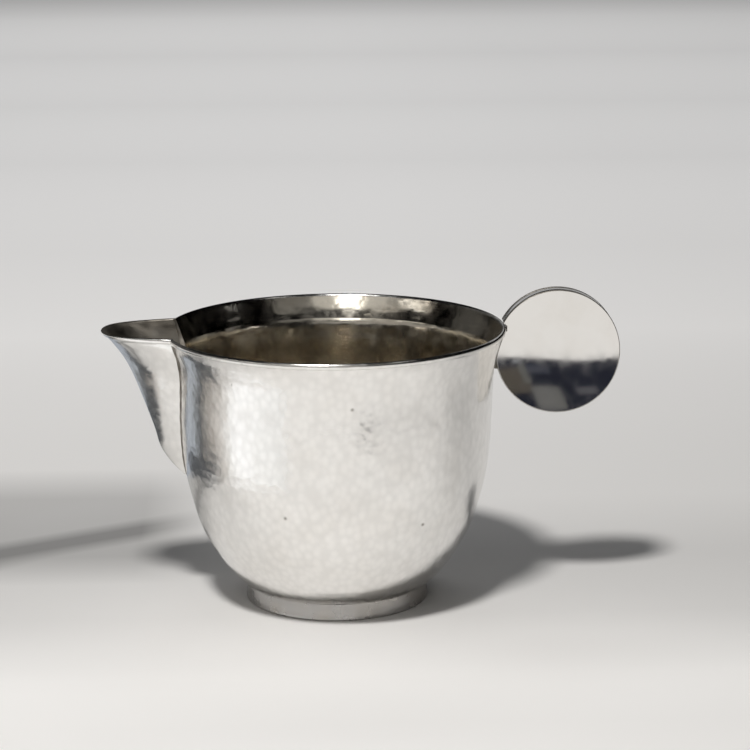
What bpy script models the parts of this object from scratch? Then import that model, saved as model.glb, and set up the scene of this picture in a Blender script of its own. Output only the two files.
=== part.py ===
"""Silver cream jug: a raised bowl with a folded spout, a foot ring and a hollow disc handle.

The spout points to -X, the handle to +X and +Z is up. The origin is the middle of the
bottom of the bounding box. Dimensions are in millimetres and become metres in `metres`.
"""
import bmesh
import bpy
import numpy as np

BOWL_AXIS_X = -6.25     # the bowl's axis, measured from the middle of the whole jug
GAP = 0.3               # between two pieces that are soldered together
TURN_STEPS = 84         # facets round the bowl and the foot
RIM_HEIGHT = 68.4
WALL = 0.95             # raised sheet
LIP_TOP_ROUNDING = 0.6  # half of the thickened rim

# Outer radius of the bowl at each height, from the foot to below the rim.
BOWL_HEIGHTS = (2.3, 2.45, 2.95, 3.9, 5.2, 7.0, 10.0, 14.0, 19.0, 25.0, 32.0,
                40.0, 50.0, 57.2, 59.6, 62.0, 64.4, 66.6, 67.6)
BOWL_RADII = (0.0, 15.0, 19.2, 22.0, 23.9, 25.75, 28.3, 30.9, 33.55, 35.5, 37.15,
              38.1, 38.65, 38.98, 39.3, 39.85, 40.6, 41.35, 41.72)
RIDGE_HEIGHT = 62.4     # inside, the wall turns outwards here into the lip
RIDGE_RADIUS = 38.75

FOOT_BOTTOM_RADIUS = 22.7
FOOT_TOP_RADIUS = 21.95
FOOT_SHEET = 1.3

# The spout: height, keel distance from the bowl's axis, half width where it meets the bowl.
SPOUT_HEIGHTS = (31.5, 33.3, 34.8, 36.4, 38.5, 42.4, 46.0, 52.4, 58.2, 62.3, 65.8, 68.5)
SPOUT_KEEL = (38.2, 40.0, 41.25, 42.4, 43.6, 44.75, 45.9, 48.2, 50.5, 52.8, 55.5, 57.6)
SPOUT_WIDTHS = (0.5, 1.4, 2.2, 3.1, 4.2, 5.8, 7.1, 9.2, 11.2, 12.4, 12.9, 12.9)
SPOUT_SHEET = 0.95
SPOUT_LANDING = 1.4     # how far the bowl's cut edge stays inside the spout's outer face
SECTION_POINTS = 29

DISC_CENTRE = 54.75     # from the bowl's axis
DISC_HEIGHT = 61.8
DISC_RADIUS = 15.4
DISC_THICKNESS = 5.0
PLATE = 0.9
PLATE_ROUNDING = 0.35
BAND = 0.9
BAND_INSET = 0.1
DISC_STEPS = 96

NECK_BOTTOM = 57.2
NECK_TOP = 66.2
NECK_DEPTH = 2.0        # half of this on each side of the jug's middle plane
NECK_INNER_X = 42.2


def metres(value):
    """Millimetres to metres, for a number or an array."""
    return np.asarray(value, float) * 0.001


def clear_scene():
    """Removes everything that the scene starts with."""
    for obj in list(bpy.data.objects):
        bpy.data.objects.remove(obj, do_unlink=True)


def silver(name, colour, roughness):
    """One named silver finish."""
    material = bpy.data.materials.new(name)
    material.use_nodes = True
    shader = material.node_tree.nodes["Principled BSDF"]
    shader.inputs["Base Color"].default_value = (*colour, 1.0)
    shader.inputs["Metallic"].default_value = 1.0
    shader.inputs["Roughness"].default_value = roughness
    return material


def link_mesh(name, mesh, material=None, helper=False):
    """Adds the mesh as an object at the bowl's axis; a helper isn't rendered."""
    obj = bpy.data.objects.new(name, mesh)
    bpy.context.scene.collection.objects.link(obj)
    obj.location.x = float(metres(BOWL_AXIS_X))
    if material:
        mesh.materials.append(material)
    if helper:
        obj.hide_render = True
        obj.display_type = "WIRE"
    return obj


def turned(name, profile, material=None, closed=True, helper=False):
    """Turns a profile of (radius, height) round the Z axis.

    The profile runs down the outer side and back up the inner side. It is closed on itself,
    or starts and ends on the axis.
    """
    points = metres([(r, 0.0, z) for r, z in profile])
    edges = [(i, i + 1) for i in range(len(points) - 1)]
    if closed:
        edges.append((len(points) - 1, 0))
    mesh = bpy.data.meshes.new(name)
    mesh.from_pydata(points.tolist(), edges, [])
    obj = link_mesh(name, mesh, material, helper)
    screw = obj.modifiers.new("Turn", "SCREW")
    screw.axis = "Z"
    screw.steps = screw.render_steps = TURN_STEPS
    screw.use_merge_vertices = True
    screw.merge_threshold = 1e-6
    screw.use_smooth_shade = True
    return obj


def lofted(name, rings, material=None, helper=False):
    """Joins equal closed rings of points, in millimetres, and caps both ends."""
    bm = bmesh.new()
    rows = [[bm.verts.new(p) for p in metres(ring)] for ring in rings]
    count = len(rows[0])
    for lower, upper in zip(rows, rows[1:]):
        for i in range(count):
            j = (i + 1) % count
            bm.faces.new((lower[i], lower[j], upper[j], upper[i]))
    bm.faces.new(rows[0][::-1])
    bm.faces.new(rows[-1])
    bmesh.ops.recalc_face_normals(bm, faces=bm.faces)
    mesh = bpy.data.meshes.new(name)
    bm.to_mesh(mesh)
    bm.free()
    return link_mesh(name, mesh, material, helper)


def cut(obj, cutter):
    """Takes the cutter's volume away from the object."""
    step = obj.modifiers.new("Cut " + cutter.name, "BOOLEAN")
    step.operation = "DIFFERENCE"
    step.solver = "EXACT"
    step.object = cutter


def smooth_round_faces(obj):
    """Shades the object smooth except across its sharp edges."""
    for face in obj.data.polygons:
        face.use_smooth = True
    obj.data.set_sharp_from_angle(angle=0.6)


def smooth_line(points, per_span=2):
    """Rounds a polyline: each span is cut into cubic pieces that keep every given point."""
    points = np.asarray(points, float)
    length = np.linalg.norm(np.diff(points, axis=0), axis=1)
    at = np.concatenate([[0.0], np.cumsum(length)])
    slope = np.gradient(points, at, axis=0)
    line = [points[0]]
    for i, span in enumerate(length):
        for step in range(1, per_span + 1):
            u = step / per_span
            line.append((2 * u ** 3 - 3 * u ** 2 + 1) * points[i]
                        + (u ** 3 - 2 * u ** 2 + u) * span * slope[i]
                        + (3 * u ** 2 - 2 * u ** 3) * points[i + 1]
                        + (u ** 3 - u ** 2) * span * slope[i + 1])
    return np.array(line)


def bowl_outer(clearance=0.0):
    """The outer line of the bowl from below the rim down to the axis, moved outwards."""
    line = smooth_line(np.stack([BOWL_RADII, BOWL_HEIGHTS], 1))
    radii, heights = line[:, 0].copy(), line[:, 1].copy()
    along = np.stack([np.gradient(radii), np.gradient(heights)], 1)
    along /= np.linalg.norm(along, axis=1)[:, None]
    radii = radii + clearance * along[:, 1]
    heights = heights - clearance * along[:, 0]
    radii[0] = 0.0
    heights[0] = heights[1]
    return [(float(r), float(z)) for r, z in zip(radii[::-1], heights[::-1])]


def rim_arc():
    """Half circle over the rim, from the inner face to the outer face."""
    centre_r = BOWL_RADII[-1] - LIP_TOP_ROUNDING + 0.28
    centre_z = RIM_HEIGHT - LIP_TOP_ROUNDING
    turn = np.radians([200.0, 165.0, 125.0, 90.0, 55.0, 15.0, -20.0])
    return [(centre_r + LIP_TOP_ROUNDING * np.cos(a), centre_z + LIP_TOP_ROUNDING * np.sin(a))
            for a in turn]


def bowl_inner():
    """The inner line of the bowl from the axis up to the ridge and the lip."""
    below = [(r, z) for r, z in bowl_outer(-WALL)[::-1] if z < RIDGE_HEIGHT - 3.0]
    return below + [(RIDGE_RADIUS - 0.15, RIDGE_HEIGHT - 2.0), (RIDGE_RADIUS, RIDGE_HEIGHT),
                    (RIDGE_RADIUS + 1.35, RIDGE_HEIGHT + 2.8)]


def make_bowl(material):
    """The raised bowl, open where the spout is let in."""
    profile = bowl_inner() + rim_arc() + bowl_outer()
    return turned("bowl", profile, material, closed=False)


def make_clearance():
    """The bowl's whole volume with the gap round it; it trims what is soldered on."""
    outer = bowl_outer(GAP)
    top = RIM_HEIGHT + GAP
    reach = BOWL_RADII[-1] + 0.28 + GAP
    rim = [(0.0, top), (reach - 0.35, top), (reach, top - 0.4), (reach, top - 1.0)]
    return turned("bowl_clearance", rim + outer, closed=False, helper=True)


def keel_and_width(height):
    """The keel's distance from the bowl's axis and the half width there."""
    line = smooth_line(np.stack([SPOUT_HEIGHTS, SPOUT_KEEL, SPOUT_WIDTHS], 1))
    keel = np.interp(height, line[:, 0], line[:, 1])
    width = np.interp(height, line[:, 0], line[:, 2])
    return float(keel), float(width)


def spout_levels(above):
    """The heights of the spout's sections from just above the one given."""
    between = [(a + b) / 2.0 for a, b in zip(SPOUT_HEIGHTS[4:], SPOUT_HEIGHTS[5:])]
    return [z for z in sorted(SPOUT_HEIGHTS + tuple(between)) if z > above]


def spout_ring(height, inset):
    """One level section: a rounded V low down that becomes a blunt U at the lip."""
    keel, width = keel_and_width(height)
    above, _ = keel_and_width(height + 1.0)
    below, _ = keel_and_width(height - 1.0)
    keel -= inset * float(np.hypot(1.0, (above - below) / 2.0))
    width -= inset
    radius = float(np.interp(height, BOWL_HEIGHTS, BOWL_RADII))
    landing = np.sqrt(radius ** 2 - width ** 2)
    s = np.linspace(-1.0, 1.0, SECTION_POINTS)
    folded = (np.sqrt(s ** 2 + 0.05) - 0.05 ** 0.5) / (1.05 ** 0.5 - 0.05 ** 0.5)
    blunt = 0.35 * s ** 2 + 0.65 * np.abs(s) ** 5
    lift = np.clip((height - 50.0) / (RIM_HEIGHT - 50.0), 0.0, 1.0) ** 1.5
    share = (1.0 - lift) * folded + lift * blunt
    front = [(-(keel - (keel - landing) * q), width * t, height) for q, t in zip(share, s)]
    return front + [(-30.0, width, height), (-30.0, -width, height)]


def make_spout(material, clearance):
    """The folded sheet spout: its outer volume less its inner volume and the bowl."""
    outer_rings = [spout_ring(z, 0.0) for z in spout_levels(31.4)]
    inner_levels = [35.2] + spout_levels(35.2) + [69.6]
    inner_rings = [spout_ring(z, SPOUT_SHEET) for z in inner_levels]
    spout = lofted("spout", outer_rings, material)
    smooth_round_faces(spout)
    cut(spout, lofted("spout_inside", inner_rings, helper=True))
    cut(spout, clearance)
    return spout


def make_spout_opening():
    """The V-shaped prism that opens the bowl's wall behind the spout."""
    levels = spout_levels(34.9) + [72.0]
    half = [keel_and_width(z)[1] - SPOUT_LANDING for z in levels]
    outline = list(zip(half, levels)) + [(-y, z) for y, z in zip(half[::-1], levels[::-1])]
    outline.append((0.0, levels[0] - 1.6))
    rings = [[(x, y, z) for y, z in outline] for x in (-64.0, -28.0)]
    return lofted("spout_opening", rings, helper=True)


def make_foot(material):
    """The ring foot, a short strip that spreads towards the table."""
    outer = bowl_outer(GAP)
    under = sorted(outer)
    top_r = np.array([FOOT_TOP_RADIUS, FOOT_TOP_RADIUS - 0.55, FOOT_TOP_RADIUS - 1.1])
    top_z = np.interp(top_r, [r for r, _ in under], [z for _, z in under])
    inner = FOOT_BOTTOM_RADIUS - FOOT_SHEET
    profile = [(top_r[0], top_z[0]), (FOOT_TOP_RADIUS + 0.1, 2.2), (22.3, 1.1),
               (FOOT_BOTTOM_RADIUS, 0.3), (FOOT_BOTTOM_RADIUS - 0.15, 0.0),
               (inner + 0.1, 0.0), (inner, 0.15), (top_r[2], 1.3),
               (top_r[2], top_z[2]), (top_r[1], top_z[1])]
    return turned("foot_ring", profile, material)


def disc_solid(name, radius, start_y, depth, material=None, helper=False):
    """A round slab of the handle that starts at start_y and is as deep as given."""
    turn = np.linspace(0.0, 2.0 * np.pi, DISC_STEPS, endpoint=False)
    x = DISC_CENTRE + radius * np.cos(turn)
    z = DISC_HEIGHT + radius * np.sin(turn)
    rings = [np.stack([x, np.full_like(x, y), z], 1) for y in (start_y, start_y + depth)]
    return lofted(name, rings, material, helper)


def make_plate(name, side, material, clearance):
    """One face of the disc handle; side is -1 in front and 1 behind."""
    outer_face = side * DISC_THICKNESS / 2.0
    plate = disc_solid(name, DISC_RADIUS, outer_face, -side * PLATE, material)
    smooth_round_faces(plate)
    edge = plate.modifiers.new("Eased edge", "BEVEL")
    edge.width = float(metres(PLATE_ROUNDING))
    edge.segments = 2
    edge.limit_method = "ANGLE"
    edge.angle_limit = 1.0
    cut(plate, clearance)
    return plate


def make_band(material, clearance):
    """The strip bent round between the two plates, open where the neck enters."""
    depth = DISC_THICKNESS - 2.0 * (PLATE + GAP)
    radius = DISC_RADIUS - BAND_INSET
    band = disc_solid("handle_edge_band", radius, -depth / 2.0, depth, material)
    smooth_round_faces(band)
    cut(band, disc_solid("band_inside", radius - BAND, -depth, 2.0 * depth, helper=True))
    cut(band, neck_block("neck_room", GAP, depth, helper=True))
    cut(band, clearance)
    return band


def neck_block(name, margin, depth, material=None, helper=False):
    """The block between bowl and disc, grown by the margin."""
    low, high = NECK_BOTTOM - margin, NECK_TOP + margin
    right = NECK_INNER_X + margin
    outline = [(36.0, low), (right, low), (right, high), (36.0, high)]
    rings = [[(x, y, z) for x, z in outline] for y in (-depth, depth)]
    return lofted(name, rings, material, helper)


def make_neck(material, clearance):
    """The filler that joins the disc to the bowl's wall under the lip."""
    neck = neck_block("handle_neck", 0.0, NECK_DEPTH / 2.0, material)
    smooth_round_faces(neck)
    cut(neck, clearance)
    return neck


def main():
    """Builds the seven pieces of the jug."""
    clear_scene()
    hammered = silver("hammered_silver", (0.86, 0.85, 0.83), 0.28)
    polished = silver("polished_silver", (0.88, 0.87, 0.85), 0.12)
    clearance = make_clearance()
    cut(make_bowl(hammered), make_spout_opening())
    make_spout(hammered.copy(), clearance)
    make_foot(hammered.copy())
    make_plate("handle_front_plate", -1.0, polished, clearance)
    make_plate("handle_back_plate", 1.0, polished.copy(), clearance)
    make_band(polished.copy(), clearance)
    make_neck(polished.copy(), clearance)


main()
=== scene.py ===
import logging
import math
from dataclasses import dataclass, field
from enum import Enum

import bmesh
import bpy
import numpy as np
from mathutils import Matrix, Vector


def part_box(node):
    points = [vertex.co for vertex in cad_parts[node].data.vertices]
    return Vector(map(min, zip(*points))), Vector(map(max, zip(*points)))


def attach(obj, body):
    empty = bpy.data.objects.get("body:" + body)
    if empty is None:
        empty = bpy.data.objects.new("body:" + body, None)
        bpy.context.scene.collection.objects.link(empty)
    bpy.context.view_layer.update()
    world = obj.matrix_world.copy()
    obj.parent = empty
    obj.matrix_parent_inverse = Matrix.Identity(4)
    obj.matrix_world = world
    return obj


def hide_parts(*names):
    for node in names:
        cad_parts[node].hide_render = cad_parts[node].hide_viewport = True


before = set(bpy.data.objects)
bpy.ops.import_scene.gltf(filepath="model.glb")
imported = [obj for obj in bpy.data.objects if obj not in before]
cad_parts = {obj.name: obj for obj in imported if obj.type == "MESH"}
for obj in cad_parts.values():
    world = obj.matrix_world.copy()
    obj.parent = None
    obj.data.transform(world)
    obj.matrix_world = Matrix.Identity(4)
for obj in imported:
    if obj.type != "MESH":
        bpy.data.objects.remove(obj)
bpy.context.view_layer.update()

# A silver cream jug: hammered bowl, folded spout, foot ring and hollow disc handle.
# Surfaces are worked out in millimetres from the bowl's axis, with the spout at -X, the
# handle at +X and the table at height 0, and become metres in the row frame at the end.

Array = np.ndarray
Colour = tuple[float, float, float]
LOG = logging.getLogger("cream_jug")
MM = 0.001
BODY = "root"


# ---------------------------------------------------------------- lines and meshes


def spline(knots: Array, values: Array, query: Array) -> Array:
    """Natural cubic through the values: its bends m solve the usual tridiagonal system,
    h m(before) + 2 (h + h') m + h' m(after) = 6 (slope after - slope before).

    Args:
        knots: rising positions of the values.
        values: one number at each knot.
        query: positions to read the line at.
    Returns:
        The line's value at each position.
    """
    knots, values = np.asarray(knots, float), np.asarray(values, float)
    gap, count = np.diff(knots), len(knots)
    slope = np.diff(values) / gap
    system, right = np.eye(count), np.zeros(count)
    row = np.arange(1, count - 1)
    system[row, row - 1], system[row, row + 1] = gap[:-1], gap[1:]
    system[row, row] = 2.0 * (gap[:-1] + gap[1:])
    right[1:-1] = 6.0 * np.diff(slope)
    bend = np.linalg.solve(system, right)
    at = np.clip(np.searchsorted(knots, query) - 1, 0, count - 2)
    after = (query - knots[at]) / gap[at]
    before = 1.0 - after
    cubic = (before ** 3 - before) * bend[at] + (after ** 3 - after) * bend[at + 1]
    return before * values[at] + after * values[at + 1] + cubic * gap[at] ** 2 / 6.0


def lengths(line: Array) -> Array:
    """Distance from the start of the line to each of its points."""
    return np.concatenate([[0.0], np.cumsum(np.linalg.norm(np.diff(line, axis=0), axis=1))])


def rounded(points: Array, count: int) -> Array:
    """Natural cubic curve through the points, with its own length as the parameter.

    Args:
        points: corners of the line, one row each.
        count: number of points of the curve.
    Returns:
        The curve's points, evenly spaced in the parameter.
    """
    points = np.asarray(points, float)
    at = lengths(points)
    query = np.linspace(0.0, at[-1], count)
    return np.stack([spline(at, points[:, k], query) for k in range(points.shape[1])], 1)


def spaced(line: Array, count: int, focus: float | None = None) -> Array:
    """The line again with other points: their density is 1, and 1 + 5 exp(-(s - f)^2 / 1.5)
    near the arc position f where the line needs more of them.

    Args:
        line: points of the line, closely spaced.
        count: number of points to return.
        focus: arc position that gets closer points, if any.
    Returns:
        The chosen points, from the first to the last.
    """
    at = lengths(line)
    fine = np.linspace(0.0, at[-1], 4000)
    density = np.ones_like(fine)
    if focus is not None:
        density += 5.0 * np.exp(-((fine - focus) ** 2) / 1.5)
    share = np.concatenate([[0.0], np.cumsum((density[1:] + density[:-1]) / 2.0)])
    place = np.interp(np.linspace(0.0, share[-1], count), share, fine)
    return np.stack([np.interp(place, at, line[:, k]) for k in range(line.shape[1])], 1)


def ease(value: Array, low: float, high: float) -> Array:
    """3 t^2 - 2 t^3 of the share t of the way from low to high."""
    share = np.clip((value - low) / (high - low), 0.0, 1.0)
    return share * share * (3.0 - 2.0 * share)


def scatter(a: Array, b: Array, salt: float) -> Array:
    """A repeatable number from 0 to 1 for each pair: the fraction of 43758 sin(12.9898 a +
    78.233 b + 37.719 salt)."""
    return np.modf(np.abs(np.sin(12.9898 * a + 78.233 * b + 37.719 * salt)) * 43758.5453)[0]


@dataclass
class Sheet:
    """Grids of points and the faces between them, welded into one closed mesh."""

    axis_x: float
    points: list[Array] = field(default_factory=list)
    faces: list[Array] = field(default_factory=list)
    finishes: list[Array] = field(default_factory=list)
    count: int = 0

    def grid(self, points: Array) -> Array:
        """Adds points of any grid shape in millimetres and returns their numbers."""
        shape = points.shape[:-1]
        numbers = np.arange(self.count, self.count + int(np.prod(shape))).reshape(shape)
        self.points.append(points.reshape(-1, 3))
        self.count += numbers.size
        return numbers

    def add_faces(self, faces: Array, finish: int = 0) -> None:
        """Adds faces, one row of point numbers each, with a finish number."""
        self.faces.append(faces)
        self.finishes.append(np.full(len(faces), finish))

    def quads(self, numbers: Array, finish: int = 0) -> None:
        """Joins neighbouring rows and columns of a grid of point numbers."""
        a, b = numbers[:-1, :-1], numbers[:-1, 1:]
        c, d = numbers[1:, 1:], numbers[1:, :-1]
        self.add_faces(np.stack([a, b, c, d], -1).reshape(-1, 4), finish)

    def halve(self, fine: Array, coarse: Array, finish: int = 0) -> None:
        """Joins a row of points to one that has half as many spans, by three triangles for
        each span of the coarse row."""
        f0, f1, f2 = fine[:-2:2], fine[1::2], fine[2::2]
        c0, c1 = coarse[:-1], coarse[1:]
        for corners in ((c0, f0, f1), (c0, f1, c1), (c1, f1, f2)):
            self.add_faces(np.stack(corners, -1), finish)

    def piece(self, name: str, materials: list[bpy.types.Material],
              sharp_deg: float = 38.0) -> bpy.types.Object:
        """Makes the object, with its place in the mesh and its normals outwards.

        Args:
            name: the piece's name.
            materials: one material for each finish number.
            sharp_deg: edges that turn more than this stay sharp.
        Returns:
            The object, at the origin of the row frame.
        """
        points = np.concatenate(self.points)
        points = (points + np.array([self.axis_x, 0.0, 0.0])) * MM
        mesh = bpy.data.meshes.new(name)
        mesh.from_pydata(points.tolist(), [], [f for part in self.faces for f in part.tolist()])
        mesh.polygons.foreach_set("material_index", np.concatenate(self.finishes))
        for material in materials:
            mesh.materials.append(material)
        bm = bmesh.new()
        bm.from_mesh(mesh)
        bmesh.ops.remove_doubles(bm, verts=bm.verts, dist=2e-6)
        bmesh.ops.recalc_face_normals(bm, faces=bm.faces)
        if bm.calc_volume(signed=True) < 0.0:
            bmesh.ops.reverse_faces(bm, faces=bm.faces)
        bm.to_mesh(mesh)
        bm.free()
        mesh.polygons.foreach_set("use_smooth", np.ones(len(mesh.polygons), bool))
        mesh.set_sharp_from_angle(angle=math.radians(sharp_deg))
        return linked(name, mesh)


def linked(name: str, data: bpy.types.ID) -> bpy.types.Object:
    """Adds an object with the data to the scene."""
    obj = bpy.data.objects.new(name, data)
    bpy.context.scene.collection.objects.link(obj)
    return obj


def tube(sheet: Sheet, rings: Array) -> None:
    """Closes rings of points, one behind the other, with a fan at each end.

    Args:
        sheet: the mesh that takes them.
        rings: points by ring and by place on the ring.
    """
    ends = [np.repeat(rings[k].mean(0)[None, None], rings.shape[1], 1) for k in (0, -1)]
    rows = np.concatenate([ends[0], rings, ends[1]])
    sheet.quads(sheet.grid(np.concatenate([rows, rows[:, :1]], 1)))


# ---------------------------------------------------------------- finishes


class Nodes:
    """Shader nodes whose inputs are constants or outputs of other nodes."""

    def __init__(self, name: str) -> None:
        """Starts an empty material."""
        self.material = bpy.data.materials.new(name)
        self.material.use_nodes = True
        self.tree = self.material.node_tree
        self.tree.nodes.clear()

    def add(self, kind: str, inputs: dict | None = None, output: str | int = 0,
            **settings: object) -> bpy.types.NodeSocket:
        """Adds one node.

        Args:
            kind: the node's type.
            inputs: values or sockets by input name or number.
            output: the output to hand back.
            settings: the node's own settings.
        Returns:
            The chosen output socket.
        """
        node = self.tree.nodes.new(kind)
        for key, value in settings.items():
            setattr(node, key, value)
        for key, value in (inputs or {}).items():
            if isinstance(value, bpy.types.NodeSocket):
                self.tree.links.new(value, node.inputs[key])
            else:
                node.inputs[key].default_value = value
        return node.outputs[output] if len(node.outputs) else None

    def places(self) -> bpy.types.NodeSocket:
        """Object coordinates."""
        return self.add("ShaderNodeTexCoord", output="Object")

    def noise(self, size_mm: float, detail: float = 2.0,
              distortion: float = 0.0) -> bpy.types.NodeSocket:
        """Noise with features of the size given."""
        return self.add("ShaderNodeTexNoise", {
            "Vector": self.places(), "Scale": 1.0 / (size_mm * MM), "Detail": detail,
            "Distortion": distortion})

    def maths(self, operation: str, *terms: object) -> bpy.types.NodeSocket:
        """A Math node on the terms, which are values or sockets."""
        return self.add("ShaderNodeMath", dict(enumerate(terms)), operation=operation)

    def axes(self) -> bpy.types.bpy_prop_collection:
        """Object coordinates by the axis's letter."""
        return self.add("ShaderNodeSeparateXYZ", {0: self.places()}).node.outputs

    def span(self, value: bpy.types.NodeSocket, source: tuple, target: tuple) \
            -> bpy.types.NodeSocket:
        """Maps the source span onto the target span and stops at its ends."""
        ends = dict(zip(("From Min", "From Max", "To Min", "To Max"), (*source, *target)))
        return self.add("ShaderNodeMapRange", {"Value": value, **ends})

    def mix(self, share: bpy.types.NodeSocket | float, first: object,
            second: object) -> bpy.types.NodeSocket:
        """A colour between the first and the second."""
        colours = {6 + k: (*c, 1.0) if isinstance(c, tuple) else c
                   for k, c in enumerate((first, second))}
        return self.add("ShaderNodeMix", {0: share, **colours}, output=2, data_type="RGBA")

    def ramp(self, value: bpy.types.NodeSocket,
             stops: list[tuple[float, Colour]]) -> bpy.types.NodeSocket:
        """A colour that goes by the value.

        Args:
            value: the value.
            stops: (value, colour) with rising values.
        Returns:
            The colour.
        """
        low, high = stops[0][0], stops[-1][0]
        colour = self.add("ShaderNodeValToRGB", {"Fac": self.span(value, (low, high), (0.0, 1.0))})
        elements = colour.node.color_ramp.elements
        elements[0].color, elements[-1].color = (*stops[0][1], 1.0), (*stops[-1][1], 1.0)
        for place, tone in stops[1:-1]:
            elements.new((place - low) / (high - low)).color = (*tone, 1.0)
        return colour

    def finish(self, shader: bpy.types.NodeSocket) -> bpy.types.Material:
        """Connects the shader to the output and returns the material."""
        self.add("ShaderNodeOutputMaterial", {"Surface": shader})
        return self.material

    def glow(self, colour: object, strength: float = 1.0) -> bpy.types.Material:
        """Finishes the material as plain light of the colour."""
        colour = (*colour, 1.0) if isinstance(colour, tuple) else colour
        return self.finish(self.add("ShaderNodeEmission", {"Color": colour, "Strength": strength}))


@dataclass(frozen=True)
class SilverFinish:
    """Silver as it is worked and worn on one part of the jug."""

    tint: Colour = (0.93, 0.915, 0.89)
    tarnish: Colour = (0.50, 0.43, 0.33)
    tarnish_share: float = 0.10
    tarnish_size_mm: float = 9.0
    roughness: float = 0.20
    spread: float = 0.05
    facet_mm: float = 0.0
    facet_curve: float = 0.010      # curvature that each blow takes away, per mm
    ripple: float = 0.0             # height of the fine ripple, in mm
    ripple_mm: float = 1.2
    pits: float = 0.0
    pit_tone: Colour = (0.20, 0.18, 0.15)
    # Painted shade along the edges between the hammer blows: how much darker they are, and their
    # tone.
    blow_edge_shade: float = 0.0             # how much darker the edges between the blows are
    blow_edge_shade_tone: Colour = (0.40, 0.39, 0.37)

    def material(self, name: str) -> bpy.types.Material:
        """Builds the nodes: tarnish by slow noise, roughness by finer noise, and a normal
        from small hammer marks (distance to the nearest blow, squared) and a ripple.

        Args:
            name: the material's name.
        Returns:
            The material.
        """
        nodes = Nodes(name)
        patch = nodes.noise(self.tarnish_size_mm, 6.0, 0.4)
        share = nodes.span(patch, (0.42, 0.72), (0.0, self.tarnish_share))
        colour = nodes.mix(share, self.tint, self.tarnish)
        if self.pits:
            spots = nodes.add("ShaderNodeTexVoronoi", {"Vector": nodes.places(), "Scale": 170.0})
            chosen = nodes.span(nodes.noise(7.0, 1.0), (0.60, 0.66), (0.0, self.pits))
            near = nodes.span(spots, (0.045, 0.10), (1.0, 0.0))
            colour = nodes.mix(nodes.maths("MULTIPLY", chosen, near), colour, self.pit_tone)
        # Painted shade: the colour darkens towards the edges between the blows.
        if self.blow_edge_shade:
            tall = nodes.add("ShaderNodeMapping", {
                "Vector": nodes.places(), "Scale": (1.0, 1.0, 0.7)})
            blow = nodes.add("ShaderNodeTexVoronoi", {
                "Vector": tall, "Scale": 1.0 / (self.facet_mm * MM)}, output="Distance")
            share = nodes.span(blow, (0.25, 0.75), (0.0, self.blow_edge_shade))
            colour = nodes.mix(share, colour, self.blow_edge_shade_tone)
        rough = nodes.span(nodes.noise(3.0, 4.0), (0.3, 0.7),
                           (self.roughness - self.spread, self.roughness + self.spread))
        inputs = {"Base Color": colour, "Metallic": 1.0, "Roughness": rough}
        bumps = []
        if self.facet_mm:
            blow = nodes.add("ShaderNodeTexVoronoi", {
                "Vector": nodes.places(), "Scale": 1.0 / (self.facet_mm * MM),
                "Randomness": 0.85})
            bumps.append((nodes.maths("POWER", blow, 2.0), self.facet_curve * self.facet_mm ** 2))
        if self.ripple:
            bumps.append((nodes.noise(self.ripple_mm, 3.0), self.ripple))
        for height, depth_mm in bumps:
            under = {"Normal": inputs["Normal"]} if "Normal" in inputs else {}
            inputs["Normal"] = nodes.add("ShaderNodeBump", {
                "Height": height, "Strength": 1.0, "Distance": depth_mm * MM, **under})
        return nodes.finish(nodes.add("ShaderNodeBsdfPrincipled", inputs))


class Finish(Enum):
    """The finishes of the jug."""

    HAMMERED = SilverFinish(tint=(0.955, 0.945, 0.925), roughness=0.19, spread=0.05,
                            facet_mm=1.7, facet_curve=0.010, ripple=0.004, pits=0.75,
                            tarnish_share=0.08, blow_edge_shade=0.14)
    # Inside the bowl: warm tarnish, and a tint darkened further that paints the shade inside the
    # bowl.
    INSIDE = SilverFinish(tint=(0.74, 0.70, 0.62), tarnish=(0.40, 0.33, 0.24),
                          tarnish_share=0.75, tarnish_size_mm=14.0, roughness=0.17,
                          spread=0.07, facet_mm=2.4, facet_curve=0.006, ripple=0.006)
    # Inside the spout: tarnish, and a dark tint that paints the shade in the spout's hollow.
    THROAT = SilverFinish(tint=(0.47, 0.44, 0.39), tarnish=(0.35, 0.30, 0.24),
                          tarnish_share=0.5, roughness=0.36, spread=0.08, ripple=0.006)
    POLISHED = SilverFinish(tint=(0.82, 0.805, 0.78), roughness=0.035, spread=0.012,
                            tarnish_share=0.10)
    EDGE = SilverFinish(tint=(0.80, 0.79, 0.78), roughness=0.22, spread=0.05,
                        tarnish_share=0.25, ripple=0.003)
    # The foot is tinted dark: painted shade for the dim floor and shadow that its band mirrors,
    # with tarnish on top.
    FOOT = SilverFinish(tint=(0.44, 0.43, 0.42), roughness=0.30, spread=0.05,
                        tarnish_share=0.25, ripple=0.006)
    # Dark solder at the real joints; the same dark finish paints the shade in the disc's neck
    # recess and along the plates' rims.
    SOLDER = SilverFinish(tint=(0.30, 0.28, 0.25), tarnish=(0.10, 0.085, 0.07),
                          tarnish_share=0.8, tarnish_size_mm=3.0, roughness=0.42,
                          spread=0.08, ripple=0.02, ripple_mm=0.6)

    def made(self) -> bpy.types.Material:
        """The finish's material, made once."""
        name = "silver_" + self.name.lower()
        return bpy.data.materials.get(name) or self.value.material(name)


# ---------------------------------------------------------------- the jug


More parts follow.
